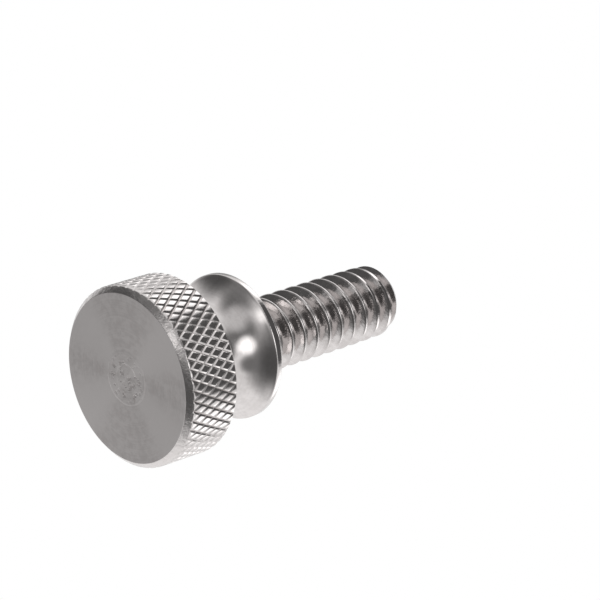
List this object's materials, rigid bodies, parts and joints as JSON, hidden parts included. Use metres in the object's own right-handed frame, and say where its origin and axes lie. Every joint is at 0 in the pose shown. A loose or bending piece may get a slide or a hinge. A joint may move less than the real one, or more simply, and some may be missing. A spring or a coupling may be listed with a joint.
{
  "type": "thumb screw",
  "caption": "Thumb screw turned from steel, with a diamond-knurled head, a waisted neck flaring into a seating collar, and a threaded shank.",
  "frame": {"origin": "centre of the head's flat face, which is the lowest point as the screw stands on its head", "axes": "+Z along the screw's axis, from the head to the tip of the shank; X and Y are free, as the screw is round"},
  "size_m": [0.011, 0.011, 0.0211],
  "materials": {
    "steel": "turned, with a polished neck and a satin face"
  },
  "bodies": {
    "root": {"thumb_screw": "steel"}
  },
  "joints": []
}
